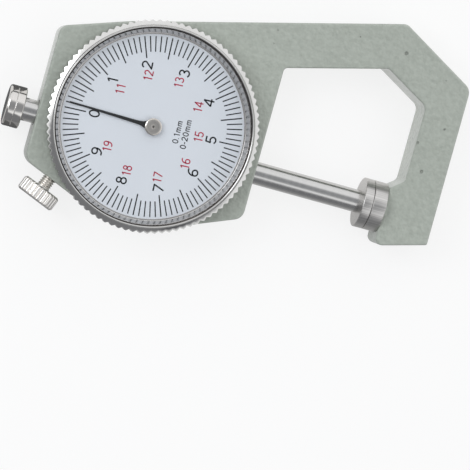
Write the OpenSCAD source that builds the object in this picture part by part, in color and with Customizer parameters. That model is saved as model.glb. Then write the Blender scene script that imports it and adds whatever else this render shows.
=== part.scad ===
// Dial thickness gauge, lying on its back with the dial facing up.
// The origin is on the dial axis at the back face. +X runs along the spindle to the anvil.

/* [Frame] */
// Thickness of the cast frame
frame_t = 9.2; // [9.1:0.1:11]
// Half width of the dial body along the spindle
body_half_w = 24.4; // [23.8:0.1:27]
// Drop of the body's lower corners below the dial axis
body_low_h = 13.9; // [13.5:0.1:15]
// Slope of the body's lower edges, in degrees
body_slope = 22; // [21:0.5:24]
// Height of the body's upper corner above the dial axis
body_top_h = 15.5; // [15:0.1:16]
// Slope of the body's upper edge, in degrees
top_slope = 19.4; // [18.8:0.1:20]
// Height of the bow's outer edge where it passes the dial axis
bow_rise = 23.25; // [22.8:0.05:23.6]
// Slope of the bow's long edges, in degrees
bow_slope = 15.2; // [12:0.1:18]
// Width of the bow
bow_w = 9.75; // [8:0.05:10.5]
// Distance along the spindle from the dial axis to the bow's outer corner
bow_reach = 47.9; // [44:0.1:52]
// Slope of the bow's outer chamfer, in degrees
bow_chamfer = 29.4; // [25:0.1:33]
// Distance from the dial axis to the arm's outer side
arm_reach = 65.4; // [63:0.1:72]
// Width of the arm beside the throat
arm_w = 8.6; // [7.5:0.1:10]
// How far the anvil seat stands into the throat from the arm's inner side
seat_step = 2.9; // [1.5:0.1:4]
// Height of the seat's top above the spindle axis
seat_rise = 4.7; // [4:0.1:5.5]
// Slope of the shoulder from the seat to the arm, in degrees
seat_slope = 38; // [30:1:45]
// Drop of the arm's foot below the spindle axis
foot_drop = 5.2; // [4.8:0.1:6]
// Radius of the frame's softened edges
edge_r = 0.45; // [0.2:0.05:0.6]

/* [Movement chamber] */
// Radius of the round chamber behind the dial
chamber_r = 17.4; // [17:0.1:18]
// Thickness of the rear cover
cover_t = 1; // [0.8:0.05:1.1]
// Radius of the rear cover
cover_r = 20.2; // [19.9:0.1:20.6]
// Number of screws that hold the rear cover
cover_screws = 4; // [3:1:6]
// Thickness of the movement plate under the dial
plate_t = 0.8; // [0.6:0.05:0.9]
// Thickness of the bridge behind the gears
bridge_t = 0.8; // [0.6:0.05:0.9]

/* [Spindle] */
// Diameter of the spindle
spindle_d = 5; // [4.8:0.05:5.2]
// Depth of the spindle axis below the frame's front face
spindle_depth = 3.5; // [3.4:0.05:3.6]
// Travel of the spindle
travel = 20; // [12:0.5:21]
// Travel that turns the pointer once
travel_per_turn = 10; // [9.6:0.1:10.4]
// Distance from the spindle axis to the pitch line of its rack
rack_line = 2.1; // [2.05:0.01:2.15]
// Diameter of the contact head and of the anvil
contact_d = 11; // [9:0.1:11.2]
// Thickness of the contact head
head_t = 2.1; // [1.8:0.05:3]
// Thickness of the anvil's disc
anvil_t = 3.1; // [2:0.1:3.5]
// Diameter of the lifting knob
knob_d = 9; // [7:0.1:10]
// Thickness of the lifting knob
knob_t = 3.7; // [2.5:0.1:5]
// Gap between the body and the knob with the spindle closed
knob_gap = 3; // [1:0.1:5]
// Outside diameter of the spindle bushes
bush_d = 6; // [5.8:0.05:6.2]
// Distance of the spindle bushes' outer ends inside the body's sides
bush_setback = 2; // [1.5:0.1:2.5]

/* [Gears] */
// Number of teeth on the pointer's pinion
pinion_teeth = 16; // [16:4:20]
// Number of teeth on the take-up gear
take_up_teeth = 48; // [40:8:56]
// Face width of the pinion
pinion_face = 3; // [2:0.1:3.4]
// Face width of the take-up gear
take_up_face = 0.8; // [0.5:0.1:1.2]
// Play between meshing teeth
backlash = 0.04; // [0.03:0.005:0.05]

/* [Dial and bezel] */
// Outside radius over the bezel's knurl
bezel_r = 22.8; // [22.7:0.05:24]
// Number of knurl teeth round the bezel
bezel_teeth = 90; // [60:5:100]
// Depth of the bezel's knurl
knurl_depth = 0.5; // [0.3:0.05:0.6]
// Radius of the bezel's bore
bezel_bore_r = 20.95; // [20.8:0.05:21]
// Radius of the opening in the bezel's lip
window_r = 20.9; // [20.5:0.05:21]
// Height of the rim that carries the bezel, above the frame's front face
rim_h = 1.3; // [1.2:0.05:1.8]
// Thickness of the dial
dial_t = 0.4; // [0.3:0.05:0.6]
// Height of the sloped ring between the dial and the crystal
ring_h = 1.2; // [1.15:0.05:1.8]
// Radius of the dial that shows inside the ring
dial_show_r = 19.7; // [19:0.05:20]
// Radius of the crystal, which is sprung into a groove under the lip
crystal_r = 21.2; // [21.1:0.05:21.4]
// Thickness of the crystal
crystal_t = 0.8; // [0.6:0.05:1.2]
// Length of the pointer from the dial axis
pointer_len = 18.6; // [14:0.1:18.8]
// Diameter of the pointer's hub cap
hub_d = 3.7; // [3:0.1:4.5]

/* [Lock screw] */
// Place along the spindle where the lock screw clamps it
lock_x = -12.65; // [-13.5:0.05:-11.5]
// Diameter of the lock screw's thread
lock_d = 3; // [2.5:0.1:3.2]
// Diameter of the lock screw's head
lock_head_d = 8.8; // [7.5:0.1:9.5]
// Thickness of the lock screw's head
lock_head_t = 3.2; // [2.5:0.1:4]
// Thread left showing between the head and the body
lock_show = 2.4; // [1.5:0.1:4]
// Number of knurl teeth round the lock screw's head
lock_teeth = 25; // [18:1:32]
// Feed of the lock screw from loose to clamped
lock_feed = 0.35; // [0.2:0.05:0.5]

/* [Hidden] */
$fn = 96;

// Clearances: a pressed seat, a running fit, a free gap, and the overlap of cuts past a face
seat = 0.01;
running = 0.04;
free = 0.1;
past = 1;

// Spindle, rack and gears
spindle_r = spindle_d / 2;
spindle_z = frame_t - spindle_depth;
pitch_r = travel_per_turn / (2 * PI);
spindle_y = -(pitch_r + rack_line);
rack_pitch = travel_per_turn / pinion_teeth;
gear_module = rack_pitch / PI;
pressure_angle = 20;
addendum = 0.85 * gear_module;
dedendum = 1.15 * gear_module;
flank_steps = 3;
take_up_y = gear_module * (pinion_teeth + take_up_teeth) / 2;
rack_margin = 2.5;
stub_r = 1.5;
stub_len = 1.4;

// Stations along the spindle with the contacts closed
arm_inner_x = arm_reach - arm_w;
seat_x = arm_inner_x - seat_step;
contact_x = seat_x - anvil_t;
head_x = contact_x - head_t;
knob_x = -body_half_w - knob_gap - knob_t;
knob_face_x = knob_x + knob_t;
anvil_stem_len = 6;
bush_out_x = body_half_w - bush_setback;
bush_in_x = sqrt(pow(chamber_r, 2) - pow(spindle_y + bush_d / 2, 2));
bush_len = bush_out_x - bush_in_x;
mouth_play = 0.3;

// Heights of the stack from the rear cover to the bezel's lip
plate_drop = 0.1;
plate_z = frame_t - plate_drop - plate_t;
screw_head_h = 0.55;
bridge_z = cover_t + free + screw_head_h;
bridge_top = bridge_z + bridge_t;
rim_top = frame_t + rim_h;
dial_z = rim_top + free;
dial_top = dial_z + dial_t;
crystal_z = dial_top + ring_h;
lip_z = crystal_z + crystal_t;
lip_h = 0.4;
bezel_play = 0.06;
rim_r = bezel_bore_r - bezel_play;
bezel_z = frame_t + free;
pointer_lift = 0.3;
pointer_t = 0.2;
pointer_z = dial_top + pointer_lift;
hub_z = pointer_z + pointer_t;
hub_gap = 0.15;
hub_h = crystal_z - hub_gap - hub_z;

// Movement plate, pillars and bridge
plate_play = 0.2;
plate_r = chamber_r - plate_play;
lug_r = 2.6;
lug_inset = 1.8;
lug_ring_r = chamber_r - lug_inset;
lug_angles = [60, 120, 240, 300];
lug_rise = 2;
lug_floor = cover_t + lug_rise;
lug_screw_r = 0.7;
lug_screw_len = 2.6;
pan_head_r = 1.2;
pillar_r = 1.5;
pillar_side_x = 9.5;
pillar_side_y = 2.5;
pillar_gap = 1.2;
pillar_far_y = take_up_y + gear_module * take_up_teeth / 2 + addendum + pillar_gap + pillar_r;
pillar_places = [[-pillar_side_x, pillar_side_y], [pillar_side_x, pillar_side_y], [0, pillar_far_y]];
bridge_bar_w = 4.4;
bridge_screw_r = 0.58;
bridge_screw_len = 2.4;
arbor_r = 0.5;
arbor_play = 0.02;
arbor_bush_r = 1.2;
arbor_shoulder_r = 0.8;
take_up_arbor_r = 0.4;
take_up_z = spindle_z - take_up_face / 2;

// Guide pin in the plate's slot, and the pin that the return spring pulls
guide_pin_r = 0.75;
guide_pin_x = travel / 2;
pin_bite = 1.2;
spring_pin_r = 0.45;
chamber_chord = sqrt(chamber_r * chamber_r - spindle_y * spindle_y);
spring_pin_gap = 0.75;
spring_pin_x = travel - chamber_chord + spring_pin_gap + spring_pin_r;
anchor_inset = 1.8;
anchor_x = chamber_chord - anchor_inset;
anchor_wall_y = -sqrt(chamber_r * chamber_r - anchor_x * anchor_x);
anchor_bite = 3;
anchor_overhang = 0.9;
anchor_tip_y = spindle_y + anchor_overhang;
spring_room = spindle_z - spindle_r - cover_t;
spring_z = cover_t + spring_room / 2;
wire_r = 0.13;
spring_r = spring_room / 2 - free - wire_r;
eye_play = 0.08;
spring_eye_r = spring_pin_r + eye_play + wire_r;
eye_step = 30;
spring_coils = 16;
spring_steps = 8;
wire_sides = 6;

// Hairspring between the take-up arbor's collet and its stud
collet_r = 1.2;
collet_lift = 0.7;
collet_z = bridge_top + collet_lift;
collet_h = 0.8;
hair_w = 0.5;
hair_t = 0.1;
hair_turns = 5;
hair_steps = 24;
stud_r = 0.5;
stud_x = 3.9;
stud_edge = 0.2;
stud_place = [stud_x, pillar_side_y + bridge_bar_w / 2 - stud_edge - stud_r];
stud_offset = stud_place - [0, take_up_y];
stud_angle = atan2(stud_offset[1], stud_offset[0]);
hair_play = 0.02;
hair_in_r = collet_r + hair_play + hair_t / 2;
hair_out_r = norm(stud_offset) - stud_r - hair_play - hair_t / 2;

// Rear cover screws
cover_screw_outset = 1.3;
cover_screw_ring_r = chamber_r + cover_screw_outset;
cover_screw_angles = [for (k = [0 : cover_screws - 1]) 360 * (k + 0.5) / cover_screws];
cover_screw_r = 0.78;
cover_screw_len = 3.2;
cover_head_r = 1.25;
cover_head_h = 0.6;
slot_w = 0.35;
slot_depth = 0.25;

// Bezel snap ring, in facing grooves of the rim and the bezel
snap_wire_r = 0.25;
snap_ring_r = (rim_r + bezel_bore_r) / 2;
snap_rise = 0.78;
snap_z = frame_t + snap_rise;
snap_gap_angle = 40;
snap_groove_h = 0.6;
snap_groove_depth = 0.4;

// Lock screw: its axis is square to the body's lower chamfer and meets the spindle axis at lock_x
lock_r = lock_d / 2;
lock_dir = [sin(body_slope), cos(body_slope)];
lock_point = [lock_x, spindle_y];
chamfer_dist = body_half_w * sin(body_slope) + body_low_h * cos(body_slope);
lock_wall = -(chamfer_dist + lock_point * lock_dir);
lock_head_at = lock_wall - lock_show;
pad_tip_r = 0.5;
pad_cone = 1;
pad_r = lock_r - free;
pad_spare = 0.05;
pad_gap = 0.02;
pad_touch = -(spindle_r + pad_tip_r * sin(body_slope)) / cos(body_slope);
pad_tip_at = pad_touch - lock_feed - pad_spare;
pad_len = 6.2;
lock_tip_at = pad_tip_at - pad_len - pad_gap;

// Corners of the frame's outline, counterclockwise from the lower left, as [x, y, radius]
low_y = -body_low_h - body_half_w * tan(body_slope);
top_bend_x = (body_top_h + body_half_w * tan(top_slope) - bow_rise) / (tan(bow_slope) - tan(top_slope));
function on_bow(x) = bow_rise + x * tan(bow_slope);
bow_y = on_bow(bow_reach);
bow_bend = (1 / cos(bow_slope) - 1 / cos(bow_chamfer)) / (tan(bow_slope) + tan(bow_chamfer));
bow_inner_x = bow_reach + bow_w * bow_bend;
function under_bow(x) = on_bow(x) - bow_w / cos(bow_slope);
function on_chamfer(x) = bow_y - (x - bow_reach) * tan(bow_chamfer);
foot_y = spindle_y - foot_drop;
seat_top_y = spindle_y + seat_rise;
corners = [
    [-body_half_w, -body_low_h, 3],
    [0, low_y, 20],
    [body_half_w, -body_low_h, 2.5],
    [body_half_w, under_bow(body_half_w), 1],
    [bow_inner_x, under_bow(bow_inner_x), 1.2],
    [arm_inner_x, on_chamfer(arm_inner_x) - bow_w / cos(bow_chamfer), 2],
    [arm_inner_x, seat_top_y + seat_step * tan(seat_slope), 1.5],
    [seat_x, seat_top_y, 1],
    [seat_x, foot_y - (arm_reach - seat_x) * tan(bow_slope), 1.5],
    [arm_reach, foot_y, 0.5],
    [arm_reach, on_chamfer(arm_reach), 2.5],
    [bow_reach, bow_y, 2],
    [top_bend_x, on_bow(top_bend_x), 10],
    [-body_half_w, body_top_h, 2.2]];
arc_steps = 6;
edge_steps = 3;

// Rounded outline moved inward by a distance. Each corner is an arc about the point where
// its two edges meet when both are moved in by the corner's radius.
function corner(i) = let (c = corners[(i + len(corners)) % len(corners)]) [c[0], c[1]];
function inward(i) = let (d = corner(i + 1) - corner(i)) [-d[1], d[0]] / norm(d);
function cross_z(a, b) = a[0] * b[1] - a[1] * b[0];
function turn(i) = let (a = inward(i - 1), b = inward(i)) atan2(cross_z(a, b), a * b);
function arc_centre(i, q) = let (a = inward(i - 1), b = inward(i)) corner(i) + (a + b) * q / (1 + a * b);
function arc_normal(i, s) = let (a = inward(i - 1)) polar(1, atan2(a[1], a[0]) + turn(i) * s / arc_steps);
function outline(inset) = [for (i = [0 : len(corners) - 1])
    let (q = sign(turn(i)) * corners[i][2])
    for (s = [0 : arc_steps]) arc_centre(i, q) - (q - inset) * arc_normal(i, s)];

// Closed skin through a stack of equal rings of points. Its end caps are panels of ring indices.
module skin(rings, panels) {
    n = len(rings[0]);
    last = len(rings) - 1;
    points = [for (ring = rings) each ring];
    walls = [for (k = [0 : last - 1]) for (i = [0 : n - 1])
        let (a = k * n + i, b = k * n + (i + 1) % n)
        each [[a, a + n, b + n], [a, b + n, b]]];
    roof_caps = [for (panel = panels) [for (k = [len(panel) - 1 : -1 : 0]) last * n + panel[k]]];
    polyhedron(points, concat(panels, walls, roof_caps), convexity = 10);
}

// The frame's flat faces in convex panels of corners: body, bow, chamfer, arm and foot.
// Neighbouring panels meet at the middle of a corner's arc.
panel_corners = [[0, 1, 2, 3, 12, 13], [3, 4, 11, 12], [4, 5, 10, 11], [5, 6, 9, 10], [6, 7, 8, 9]];
function follows(a, b) = (a + 1) % len(corners) == b;
function panel_points(panel) = [for (k = [0 : len(panel) - 1])
    let (i = panel[k])
    let (before = panel[(k + len(panel) - 1) % len(panel)])
    let (after = panel[(k + 1) % len(panel)])
    let (first = follows(before, i) ? 0 : arc_steps / 2)
    let (final = follows(i, after) ? arc_steps : arc_steps / 2)
    for (s = [first : final]) i * (arc_steps + 1) + s];

// Casting before it is cut: the outline in rings, drawn in where the front and back edges are rounded
function edge_inset(s) = edge_r * (1 - sin(90 * s / edge_steps));
function edge_rise(s) = edge_r * (1 - cos(90 * s / edge_steps));
function level(inset, z) = [for (p = outline(inset)) [p[0], p[1], z]];
module frame_blank() {
    back = [for (s = [0 : edge_steps]) level(edge_inset(s), edge_rise(s))];
    front = [for (s = [edge_steps : -1 : 0]) level(edge_inset(s), frame_t - edge_rise(s))];
    skin(concat(back, front), [for (panel = panel_corners) panel_points(panel)]);
}

// Cylinder along the spindle axis between two stations
module along_spindle(r, from, to) {
    translate([from, spindle_y, spindle_z]) rotate([0, 90, 0]) cylinder(r = r, h = to - from);
}

// Frame of the lock screw's axis: local z runs inward, zero where it meets the spindle axis
module on_lock_axis() {
    translate([lock_x, spindle_y, spindle_z]) rotate([0, 0, -body_slope]) rotate([-90, 0, 0]) children();
}

// Ring of copies round the dial axis
module ring_of(angles, r) {
    for (a = angles) rotate([0, 0, a]) translate([r, 0, 0]) children();
}

// Tooth flank of an involute gear: half the tooth's angle at a radius
function involute(w) = tan(w) * 180 / PI - w;
function half_tooth(n, r) = let (rp = gear_module * n / 2, rb = rp * cos(pressure_angle))
    90 / n - backlash / 4 / rp * 180 / PI + involute(pressure_angle) - involute(acos(min(1, rb / r)));
function polar(r, a) = r * [cos(a), sin(a)];
module gear_outline(n) {
    rp = gear_module * n / 2;
    root = rp - dedendum;
    base = max(root, rp * cos(pressure_angle));
    tip = rp + addendum;
    flank = [for (s = [0 : flank_steps]) base + (tip - base) * s / flank_steps];
    polygon([for (k = [0 : n - 1]) let (mid = 360 * k / n) each concat(
        [polar(root, mid - half_tooth(n, base))],
        [for (r = flank) polar(r, mid - half_tooth(n, r))],
        [for (s = [flank_steps : -1 : 0]) polar(flank[s], mid + half_tooth(n, flank[s]))],
        [polar(root, mid + half_tooth(n, base))])]);
}

// Space above the rack: the spindle's flank with its row of tooth gaps
module rack_space() {
    slant = tan(pressure_angle);
    first = floor(-rack_margin / rack_pitch);
    count = ceil((travel + 2 * rack_margin) / rack_pitch);
    half = rack_pitch / 4 + backlash / 4;
    mouth = half + addendum * slant;
    floor_half = half - dedendum * slant;
    mouth_y = rack_line + addendum;
    floor_y = rack_line - dedendum;
    gaps = [for (k = [first : first + count]) let (x = k * rack_pitch) each
        [[x - mouth, mouth_y], [x - floor_half, floor_y], [x + floor_half, floor_y], [x + mouth, mouth_y]]];
    translate([0, spindle_y, spindle_z - spindle_r]) linear_extrude(spindle_d)
        polygon(concat([[gaps[0][0], spindle_d]], gaps, [[gaps[len(gaps) - 1][0], spindle_d]]));
}

// Round body with a straight knurl, standing on z = 0 and turned to a profile of [radius, height] points
module knurled(r, teeth, depth, profile) {
    h = profile[len(profile) - 1][1];
    intersection() {
        linear_extrude(h) polygon([for (k = [0 : teeth - 1]) each
            [polar(r, 360 * k / teeth), polar(r - depth, 360 * (k + 0.5) / teeth)]]);
        rotate_extrude() polygon(concat([[0, 0]], profile, [[0, h]]));
    }
}

// Screw with a slotted pan head, pointing along -z with its head standing on z = 0
module pan_screw(r, length, head_r, head_h) {
    difference() {
        union() {
            translate([0, 0, -length]) cylinder(r = r, h = length + head_h / 2);
            cylinder(r = head_r, h = head_h);
        }
        translate([-head_r, -slot_w / 2, head_h - slot_depth]) cube([2 * head_r, slot_w, slot_depth + past]);
    }
}

// Chamber behind the dial, with the lugs that carry the movement plate left standing
module movement_chamber() {
    difference() {
        translate([0, 0, cover_t - past / 2]) cylinder(r = chamber_r, h = rim_top);
        ring_of(lug_angles, lug_ring_r) translate([0, 0, lug_floor])
            cylinder(r = lug_r, h = plate_z - lug_floor);
    }
}

module frame() {
    color("#a0a79e") difference() {
        union() {
            frame_blank();
            translate([0, 0, frame_t / 2]) cylinder(r = rim_r, h = rim_top - frame_t / 2);
        }
        movement_chamber();
        translate([0, 0, -past]) cylinder(r = cover_r + free / 2, h = past + cover_t);
        ring_of(cover_screw_angles, cover_screw_ring_r) translate([0, 0, cover_t / 2])
            cylinder(r = cover_screw_r + seat, h = cover_screw_len - cover_t / 2 + free);
        ring_of(lug_angles, lug_ring_r) translate([0, 0, plate_z - lug_screw_len - free])
            cylinder(r = lug_screw_r + seat, h = lug_screw_len + past);
        along_spindle(spindle_r + mouth_play, -body_half_w - past, body_half_w + past);
        along_spindle(bush_d / 2 + seat, -bush_out_x, bush_out_x);
        along_spindle(stub_r + seat, seat_x - past, seat_x + anvil_stem_len + free);
        on_lock_axis() translate([0, 0, lock_wall - past])
            cylinder(r = lock_r + running, h = past - lock_wall);
        translate([anchor_x, anchor_wall_y - anchor_bite - free, spring_z]) rotate([-90, 0, 0])
            cylinder(r = spring_pin_r + seat, h = anchor_bite + past);
        snap_groove(rim_r - snap_groove_depth, rim_r + past);
    }
}

// Ring-shaped cut for the bezel's snap ring
module snap_groove(inner, outer) {
    translate([0, 0, snap_z - snap_groove_h / 2]) difference() {
        cylinder(r = outer, h = snap_groove_h);
        translate([0, 0, -past]) cylinder(r = inner, h = snap_groove_h + 2 * past);
    }
}

// Plain bearing bush between two stations of the spindle
module spindle_bush(from) {
    difference() {
        along_spindle(bush_d / 2, from, from + bush_len);
        along_spindle(spindle_r + running, from - past, from + bush_len + past);
    }
}

module left_bush() {
    color("#b8955a") spindle_bush(-bush_out_x);
}

module right_bush() {
    color("#b8955a") spindle_bush(bush_in_x);
}

module anvil() {
    color("#b9bab8") union() {
        along_spindle(contact_d / 2, contact_x, seat_x);
        along_spindle(stub_r, contact_x + anvil_t / 2, seat_x + anvil_stem_len);
    }
}

module rear_cover() {
    color("#a0a79e") difference() {
        cylinder(r = cover_r, h = cover_t);
        ring_of(cover_screw_angles, cover_screw_ring_r) translate([0, 0, -past])
            cylinder(r = cover_screw_r + running, h = cover_t + 2 * past);
        ring_of(cover_screw_angles, cover_screw_ring_r) countersink(seat);
    }
}

// Cone of a countersunk head, wide at the back face
module countersink(gap) {
    cylinder(r1 = cover_head_r + gap, r2 = cover_screw_r + gap, h = cover_head_h);
}

module rear_cover_screws() {
    color("#c9c9c6") ring_of(cover_screw_angles, cover_screw_ring_r) difference() {
        union() {
            countersink(0);
            cylinder(r = cover_screw_r, h = cover_screw_len);
        }
        translate([-cover_head_r, -slot_w / 2, -past]) cube([2 * cover_head_r, slot_w, past + slot_depth]);
    }
}

module movement_plate() {
    slot_len = travel + 2 * (guide_pin_r + free);
    color("#c2a25c") translate([0, 0, plate_z]) difference() {
        cylinder(r = plate_r, h = plate_t);
        translate([0, 0, -past]) cylinder(r = arbor_bush_r + seat, h = plate_t + 2 * past);
        translate([0, take_up_y, -past]) cylinder(r = take_up_arbor_r + arbor_play, h = plate_t + 2 * past);
        ring_of(lug_angles, lug_ring_r) translate([0, 0, -past])
            cylinder(r = lug_screw_r + running, h = plate_t + 2 * past);
        translate([-slot_len / 2, spindle_y - guide_pin_r - running, -past])
            cube([slot_len, 2 * (guide_pin_r + running), plate_t + 2 * past]);
    }
}

module plate_screws() {
    color("#c9c9c6") ring_of(lug_angles, lug_ring_r) translate([0, 0, plate_z + plate_t])
        pan_screw(lug_screw_r, plate_t + lug_screw_len, pan_head_r, screw_head_h);
}

module pillars() {
    color("#c2a25c") for (p = pillar_places) translate([p[0], p[1], bridge_top]) difference() {
        cylinder(r = pillar_r, h = plate_z - bridge_top);
        translate([0, 0, -past]) cylinder(r = bridge_screw_r + seat, h = past + bridge_screw_len + free);
    }
}

module movement_bridge() {
    bar_r = bridge_bar_w / 2;
    color("#c2a25c") translate([0, 0, bridge_z]) linear_extrude(bridge_t) difference() {
        union() {
            translate([-pillar_side_x, pillar_side_y - bar_r]) square([2 * pillar_side_x, bridge_bar_w]);
            translate([-bar_r, pillar_side_y]) square([bridge_bar_w, pillar_far_y - pillar_side_y]);
            for (p = concat(pillar_places, [[0, 0]])) translate(p) circle(r = bar_r);
        }
        circle(r = arbor_bush_r + seat);
        translate([0, take_up_y]) circle(r = take_up_arbor_r + arbor_play);
        translate(stud_place) circle(r = stud_r + seat);
        for (p = pillar_places) translate(p) circle(r = bridge_screw_r + running);
    }
}

module bridge_screws() {
    color("#c9c9c6") for (p = pillar_places) translate([p[0], p[1], bridge_z]) mirror([0, 0, 1])
        pan_screw(bridge_screw_r, bridge_t + bridge_screw_len, pan_head_r, screw_head_h);
}

module arbor_bushes() {
    color("#b8955a") {
        arbor_bush(bridge_z, bridge_t);
        arbor_bush(plate_z, plate_t);
    }
}

// Bearing of the pinion arbor in a plate that starts at a height
module arbor_bush(from, h) {
    translate([0, 0, from]) difference() {
        cylinder(r = arbor_bush_r, h = h);
        translate([0, 0, -past]) cylinder(r = arbor_r + arbor_play, h = h + 2 * past);
    }
}

module bezel_snap_ring() {
    color("#9a9c9f") rotate([0, 0, snap_gap_angle / 2]) rotate_extrude(angle = 360 - snap_gap_angle)
        translate([snap_ring_r, snap_z]) circle(r = snap_wire_r);
}

module spring_anchor() {
    color("#b9bab8") translate([anchor_x, anchor_wall_y - anchor_bite, spring_z]) rotate([-90, 0, 0])
        cylinder(r = spring_pin_r, h = anchor_tip_y - anchor_wall_y + anchor_bite);
}

// Extension spring, one wire: an eye round the spindle's pin, a lead that winds out to the coil,
// the coil, a lead that winds in again, and an eye round the anchor pin
coil_from = spring_pin_x + spring_eye_r;
coil_to = anchor_x - spring_eye_r;
coil_turns = spring_coils + 2;
function coil_r(u) = spring_r * min(1, coil_turns * u, coil_turns * (1 - u));
function coil_point(u) = let (p = polar(coil_r(u), 360 * coil_turns * u))
    [coil_from + (coil_to - coil_from) * u, p[0], p[1]];
coil_rings = coil_turns * spring_steps;
spring_path = concat(
    [for (a = [-300 : eye_step : -eye_step]) let (p = polar(spring_eye_r, a)) [spring_pin_x + p[0], p[1], 0]],
    [for (k = [0 : coil_rings]) coil_point(k / coil_rings)],
    [for (a = [150 : -eye_step : -120]) let (p = polar(spring_eye_r, a)) [anchor_x + p[0], 0, p[1]]]);

// Tube along a path. Each ring's side vector is the last one turned square to the path.
function unit(v) = v / norm(v);
function heading(path, i) = unit(path[min(i + 1, len(path) - 1)] - path[max(i - 1, 0)]);
function squared(v, t) = unit(v - (v * t) * t);
function side_vectors(path, first) = [for (i = 0, v = squared(first, heading(path, 0)); i < len(path);
    i = i + 1, v = squared(v, heading(path, min(i, len(path) - 1)))) v];
module wire(path, r, first) {
    sides = side_vectors(path, first);
    corner_ids = [for (k = [0 : wire_sides - 1]) k];
    rings = [for (i = [0 : len(path) - 1]) let (up = cross(heading(path, i), sides[i]))
        [for (k = corner_ids) let (p = polar(r, 360 * k / wire_sides))
            path[i] + p[0] * sides[i] + p[1] * up]];
    skin(rings, [corner_ids]);
}
module return_spring() {
    color("#9a9c9f") translate([0, spindle_y, spring_z]) wire(spring_path, wire_r, [0, 0, 1]);
}

module hairspring_stud() {
    color("#c2a25c") translate([stud_place[0], stud_place[1], bridge_z])
        cylinder(r = stud_r, h = collet_z + collet_h - bridge_z);
}

// Flat spiral strip: its middle line runs out evenly from the collet to the stud
function hair_r(u) = hair_in_r + (hair_out_r - hair_in_r) * u;
function hair_point(u, side) = polar(hair_r(u) + side * hair_t / 2, stud_angle + 360 * hair_turns * (u - 1));
module hairspring() {
    count = hair_turns * hair_steps;
    inner_edge = [for (s = [0 : count]) hair_point(s / count, -1)];
    outer_edge = [for (s = [count : -1 : 0]) hair_point(s / count, 1)];
    color("#6f7f9c") translate([0, take_up_y, collet_z + (collet_h - hair_w) / 2]) linear_extrude(hair_w)
        polygon(concat(inner_edge, outer_edge));
}

module spindle() {
    color("#b9bab8") difference() {
        union() {
            along_spindle(spindle_r, knob_face_x, head_x);
            along_spindle(stub_r, knob_face_x - stub_len, head_x + stub_len);
        }
        rack_space();
        translate([guide_pin_x, spindle_y, spindle_z + spindle_r - pin_bite])
            cylinder(r = guide_pin_r + seat, h = pin_bite + past);
        translate([spring_pin_x, spindle_y, spindle_z - spindle_r - past])
            cylinder(r = spring_pin_r + seat, h = pin_bite + past);
    }
}

// Disc on the spindle's end, with a blind hole for its stub
module end_disc(r, from, to, hole_from) {
    difference() {
        along_spindle(r, from, to);
        along_spindle(stub_r + seat, hole_from, hole_from + stub_len + free);
    }
}

module contact_head() {
    color("#b9bab8") end_disc(contact_d / 2, head_x, contact_x, head_x - free / 2);
}

module lifting_knob() {
    color("#d0cdc8") end_disc(knob_d / 2, knob_x, knob_face_x, knob_face_x - stub_len - free / 2);
}

module guide_pin() {
    color("#b9bab8") translate([guide_pin_x, spindle_y, spindle_z + spindle_r - pin_bite])
        cylinder(r = guide_pin_r, h = plate_z + plate_t - spindle_z - spindle_r + pin_bite - free);
}

module spring_pin() {
    color("#b9bab8") translate([spring_pin_x, spindle_y, cover_t + free])
        cylinder(r = spring_pin_r, h = spring_room - free + pin_bite);
}

module pinion_arbor() {
    color("#c2a25c") union() {
        translate([0, 0, bridge_z]) cylinder(r = arbor_r, h = hub_z + hub_h / 2 - bridge_z);
        translate([0, 0, bridge_top + free])
            cylinder(r = arbor_shoulder_r, h = plate_z - bridge_top - 2 * free);
        translate([0, 0, spindle_z - pinion_face / 2]) linear_extrude(pinion_face)
            rotate(-90) gear_outline(pinion_teeth);
    }
}

// Needle that points to the knob with the contacts closed, a little clockwise of the spindle
module pointer() {
    boss_r = 1;
    neck_half_w = 0.7;
    tip_half_w = 0.14;
    rest_angle = 178.75;
    color("#1c1c1e") translate([0, 0, pointer_z]) linear_extrude(pointer_t) rotate(rest_angle) difference() {
        union() {
            circle(r = boss_r);
            polygon([[0, -neck_half_w], [pointer_len, -tip_half_w], [pointer_len, tip_half_w],
                [0, neck_half_w]]);
        }
        circle(r = arbor_r + seat);
    }
}

module pointer_hub() {
    r = hub_d / 2;
    bevel = 0.12;
    dimple_r = 0.4;
    dimple_floor_r = 0.1;
    color("#b4b3ae") translate([0, 0, hub_z]) difference() {
        rotate_extrude() polygon([[0, 0], [r, 0], [r, hub_h - bevel], [r - bevel, hub_h], [0, hub_h]]);
        translate([0, 0, -past]) cylinder(r = arbor_r + seat, h = past + hub_h / 2 + seat);
        translate([0, 0, hub_h - bevel]) cylinder(r1 = dimple_floor_r, r2 = dimple_r, h = bevel);
    }
}

module take_up_arbor() {
    color("#b9bab8") translate([0, take_up_y, bridge_z])
        cylinder(r = take_up_arbor_r, h = plate_z + plate_t - bridge_z);
}

module take_up_gear() {
    color("#c2a25c") translate([0, take_up_y, take_up_z]) linear_extrude(take_up_face) difference() {
        rotate(180 / take_up_teeth - 90) gear_outline(take_up_teeth);
        circle(r = take_up_arbor_r + seat);
    }
}

module hairspring_collet() {
    color("#c2a25c") translate([0, take_up_y, collet_z]) difference() {
        cylinder(r = collet_r, h = collet_h);
        translate([0, 0, -past]) cylinder(r = take_up_arbor_r + seat, h = collet_h + 2 * past);
    }
}

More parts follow.
